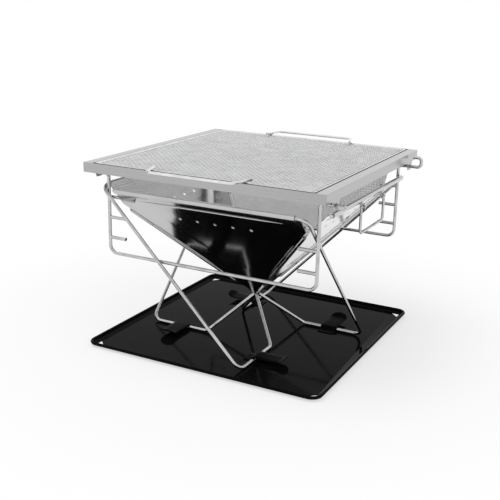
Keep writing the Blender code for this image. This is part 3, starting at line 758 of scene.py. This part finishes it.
flat_ring = [(0.0135, 0.0, 0.0), (0.0135, -0.0125, 0.0), (0.004, -0.0125, 0.0)]
upright_ring = [(0.0175, 0.0, 0.0), (0.0175, 0.0, 0.0145), (0.005, 0.0, 0.0145)]
stand("front", -1, left=-0.1650, right=0.1605, drop=0.1165, ring=flat_ring)
stand("rear", 1, left=-0.1645, right=0.1645, drop=0.1140, ring=upright_ring)
print("Made both stands, with pegs", 1000 * PEG_PITCH, "mm apart")

# %% [markdown]
# ## Tips of the panels
# Where the four panels meet at the bottom, each ends in a narrow tongue that covers the rods' ends.
# The frame stops a little short of that, so a small wedge of the same sheet goes on from each panel.

# %% Add the tongues
TONGUE_ROWS = ((0.0135, 0.0098), (0.0075, 0.0070), (0.0010, 0.0005))
TONGUE_EDGE = 0.0002


def thicken(piece, thickness, edge_width):
    """Gives a surface the thickness of sheet and slightly rounded edges, and returns the bevel."""
    solid = piece.modifiers.new("Sheet", "SOLIDIFY")
    solid.thickness = thickness
    solid.offset = 0.0
    edge = piece.modifiers.new("Edges", "BEVEL")
    edge.width = edge_width
    edge.segments = 2
    return edge


def panel_tongue(side, quarter):
    """A tongue of sheet that goes on from a panel's lower edge to the tip."""
    shape = bmesh.new()
    rows = []
    for reach, half in TONGUE_ROWS:
        down = (hinge_reach - reach) / cos(sheet_slope)
        rows.append([shape.verts.new((hand * half, down, sheet_lift)) for hand in (-1, 1)])
    for upper, lower in zip(rows, rows[1:]):
        shape.faces.new((upper[0], upper[1], lower[1], lower[0]))
    mesh = bpy.data.meshes.new("tongue_" + side)
    shape.to_mesh(mesh)
    shape.free()
    tongue = bpy.data.objects.new("tongue_" + side, mesh)
    bpy.context.scene.collection.objects.link(tongue)
    thicken(tongue, SHEET, TONGUE_EDGE)
    tongue.matrix_world = panel_place(quarter, sheet_slope)
    mesh.materials.append(sheet_finish)
    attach(tongue, "fire_pit")
    return tongue


tongues = [panel_tongue(side, quarter) for quarter, side in enumerate(SIDES)]
print("Added", len(tongues), "tongues")

# %% [markdown]
# ## Foot clips
# Each clip is a strip of sheet spot-welded to the tray. It loops over a foot wire and ends in a long
# leaf with a rounded, upturned lip, so the wire can slide in under it when the pit is twisted. The
# frame's clip is a plain short strip. This one follows the same loop with a longer leaf, its lip is
# rounded row by row, and a bevel catches the light along the edges.

# %% Rows of a clip's strip
CLIP_WIDTH = 0.026
CLIP_SHEET = 0.001
EDGE_CLEARANCE = 0.0005
LOOP_RADIUS = ROD_RADIUS + EDGE_CLEARANCE + CLIP_SHEET / 2
LOOP_STEPS = 8
TAB_HEIGHT = 0.0018
TAB_LENGTH = 0.013
TAB_END = 0.0016
TAB_TAPER = 0.0015
TAB_TIP_SHARE = 0.86
LEAF_END = 0.037
LEAF_FLAT = 0.012
LEAF_RISE = 0.0002
LIP_STEPS = 8
LIP_LENGTH = 0.0105
LIP_RISE = 0.0062
LIP_CURVE = 1.7
LIP_ROUNDING = 2.6
LIP_TIP_HALF = 0.0012


def clip_rows():
    """Rows of the strip as (distance outwards, height, half width)."""
    half = CLIP_WIDTH / 2
    rows = [(-LOOP_RADIUS - TAB_LENGTH, TAB_HEIGHT, half * TAB_TIP_SHARE),
            (-LOOP_RADIUS - TAB_LENGTH + TAB_TAPER, TAB_HEIGHT, half),
            (-LOOP_RADIUS - TAB_END, TAB_HEIGHT, half)]
    for step in range(LOOP_STEPS + 1):
        angle = pi - pi / 2 * step / LOOP_STEPS
        rows.append((LOOP_RADIUS * cos(angle), FOOT_HEIGHT + LOOP_RADIUS * sin(angle), half))
    leaf_height = FOOT_HEIGHT + LOOP_RADIUS
    rows.append((LEAF_END - LEAF_FLAT, leaf_height, half))
    rows.append((LEAF_END, leaf_height + LEAF_RISE, half))
    for step in range(1, LIP_STEPS + 1):
        part = step / LIP_STEPS
        rows.append((LEAF_END + LIP_LENGTH * part, leaf_height + LEAF_RISE + LIP_RISE * part ** LIP_CURVE,
                     half * (1.0 - part ** LIP_ROUNDING) ** 0.5 + LIP_TIP_HALF * part))
    return rows


strip = clip_rows()
print("A clip has", len(strip), "rows and is", round((strip[-1][0] - strip[0][0]) * 1000), "mm long")

# %% Bend the clips
CLIP_SIDEWAYS = 0.101
CLIP_EDGE = 0.00022
CLIP_EDGE_ANGLE = radians(50)
ACROSS = (-1.0, -0.5, 0.0, 0.5, 1.0)


def foot_clip(side, quarter):
    """A clip in its own place: X along the foot wire and Y outwards, then turned round the tray."""
    shape = bmesh.new()
    rows = []
    for out, height, half in strip:
        rows.append([shape.verts.new((half * across, out, height)) for across in ACROSS])
    for first, second in zip(rows, rows[1:]):
        for index in range(len(ACROSS) - 1):
            shape.faces.new((first[index], first[index + 1], second[index + 1], second[index]))
    mesh = bpy.data.meshes.new("clip_" + side)
    shape.to_mesh(mesh)
    shape.free()
    mesh.shade_smooth()
    clip = bpy.data.objects.new("clip_" + side, mesh)
    bpy.context.scene.collection.objects.link(clip)
    edge = thicken(clip, CLIP_SHEET, CLIP_EDGE)
    edge.limit_method = "ANGLE"
    edge.angle_limit = CLIP_EDGE_ANGLE
    spin = Matrix.Rotation(quarter * pi / 2, 4, "Z")
    clip.matrix_world = spin @ Matrix.Translation((CLIP_SIDEWAYS, FOOT_REACH, 0.0))
    mesh.materials.append(clip_finish)
    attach(clip, "tray")
    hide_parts("foot_clip_" + side)
    return clip


clips = [foot_clip(side, quarter) for quarter, side in enumerate(("right", "back", "left", "front"))]
print("Bent", len(clips), "clips")

# %% [markdown]
# ## A dark line round the net
# Between the net's border and the rails is a narrow gap in shadow, and from a step away it reads as
# one dark line. The gap itself is too thin to stay dark here, so a fine near-black wire runs round the
# border's outer side as painted shadow.

# %% Draw the dark line
SHADOW_LINE_INSET = 0.0004
SHADOW_LINE_BELOW_TOP = 0.0011
SHADOW_LINE_RADIUS = 0.0009
SHADOW_LINE_CORNER = 0.0045


def shadow_black():
    """Dull, nearly black steel, as painted shadow for the gap round the net."""
    made, nodes, links, shader = new_material("shadow_black")
    scale = noise(nodes, links, object_place(nodes, links), 300.0, 3.0)
    black = ramp(nodes, links, scale, (0.3, (0.012, 0.011, 0.010)), (0.7, (0.035, 0.033, 0.031)))
    links.new(black, shader.inputs["Base Color"])
    shader.inputs["Metallic"].default_value = 0.3
    shader.inputs["Roughness"].default_value = 0.6
    return made


def painted_shadow_line(paint):
    """A closed loop of fine dark wire on the outer side of the net's border, as painted shadow in the gap."""
    low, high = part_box("net_border")
    left, right = low.x + SHADOW_LINE_INSET, high.x - SHADOW_LINE_INSET
    near, far = low.y + SHADOW_LINE_INSET, high.y - SHADOW_LINE_INSET
    corners = [(0.0, near, 0.0), (right, near, 0.0), (right, far, 0.0), (left, far, 0.0),
               (left, near, 0.0), (0.0, near, 0.0)]
    loop = bend(corners, (SHADOW_LINE_CORNER,) * 4)[1:]
    curve = bpy.data.curves.new("net_shadow_line", "CURVE")
    curve.dimensions = "3D"
    curve.bevel_depth = SHADOW_LINE_RADIUS
    curve.bevel_resolution = 2
    spline = curve.splines.new("POLY")
    spline.points.add(len(loop) - 1)
    spline.use_cyclic_u = True
    for point, spot in zip(spline.points, loop):
        point.co = (spot.x, spot.y, high.z - SHADOW_LINE_BELOW_TOP, 1.0)
    seam = bpy.data.objects.new("net_shadow_line", curve)
    bpy.context.scene.collection.objects.link(seam)
    curve.materials.append(paint)
    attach(seam, "net")
    return seam


# A near-black wire is painted shadow for the gap between the net and the rails.
net_shadow_line = painted_shadow_line(shadow_black())
print("The dark line has", len(net_shadow_line.data.splines[0].points), "points")

# %% [markdown]
# ## The woven net
# The real net is thin wire woven over and under, under five millimetres apart. A pattern painted on a
# flat sheet would look wrong from low angles, so each wire is a real tube. Its middle line is a zigzag
# that rises and falls by half a wire's thickness, and every second wire starts the other way.

# %% Net sizes from the frame
low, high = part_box("net_mesh")
NET_WIRE = 0.0011
NET_PITCH = 0.0046
net_middle = (low + high) / 2
net_half = (high - low) / 2
across_count = round(2 * net_half.x / NET_PITCH)
deep_count = round(2 * net_half.y / NET_PITCH)
print("The net has", across_count - 1, "by", deep_count - 1, "wires")

# %% Plating of the net
def net_plating():
    """Light satin plating with duller patches."""
    made, nodes, links, shader = new_material("net_plating")
    patch = noise(nodes, links, object_place(nodes, links), 45.0, 4.0, 0.6)
    colour = ramp(nodes, links, patch, (0.3, steel_grey(0.70)), (0.7, steel_grey(0.84)))
    links.new(colour, shader.inputs["Base Color"])
    shader.inputs["Metallic"].default_value = 0.95
    links.new(spread(nodes, links, patch, 0.25, 0.42), shader.inputs["Roughness"])
    return made


net_finish = net_plating()
print("Made", net_finish.name)

# %% Weave the wires
def weave(name, count, half_span, half_length, crossings, swap, paint):
    """One layer of wires. Each rises over and dips under the wires that it crosses."""
    curve = bpy.data.curves.new(name, "CURVE")
    curve.dimensions = "3D"
    curve.bevel_depth = NET_WIRE / 2
    curve.bevel_resolution = 1
    curve.use_fill_caps = True
    pitch = 2 * half_span / count
    step = 2 * half_length / crossings
    for index in range(1, count):
        offset = index * pitch - half_span
        spline = curve.splines.new("POLY")
        spline.points.add(crossings)
        for crossing, point in enumerate(spline.points):
            along = crossing * step - half_length
            parity = 1 if (index + crossing + swap) % 2 else -1
            rise = 0.0 if crossing in (0, crossings) else parity * NET_WIRE * 0.5
            x, y = (along, offset) if swap else (offset, along)
            point.co = (net_middle.x + x, net_middle.y + y, net_middle.z + rise, 1.0)
    made = bpy.data.objects.new(name, curve)
    bpy.context.scene.collection.objects.link(made)
    curve.materials.append(paint)
    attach(made, "net")
    return made


lengthwise = weave("net_lengthwise_wires", across_count, net_half.x, net_half.y, deep_count, 0, net_finish)
crosswise = weave("net_crosswise_wires", deep_count, net_half.y, net_half.x, across_count, 1, net_finish)
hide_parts("net_mesh")
print("Wove", len(lengthwise.data.splines) + len(crosswise.data.splines), "wires")
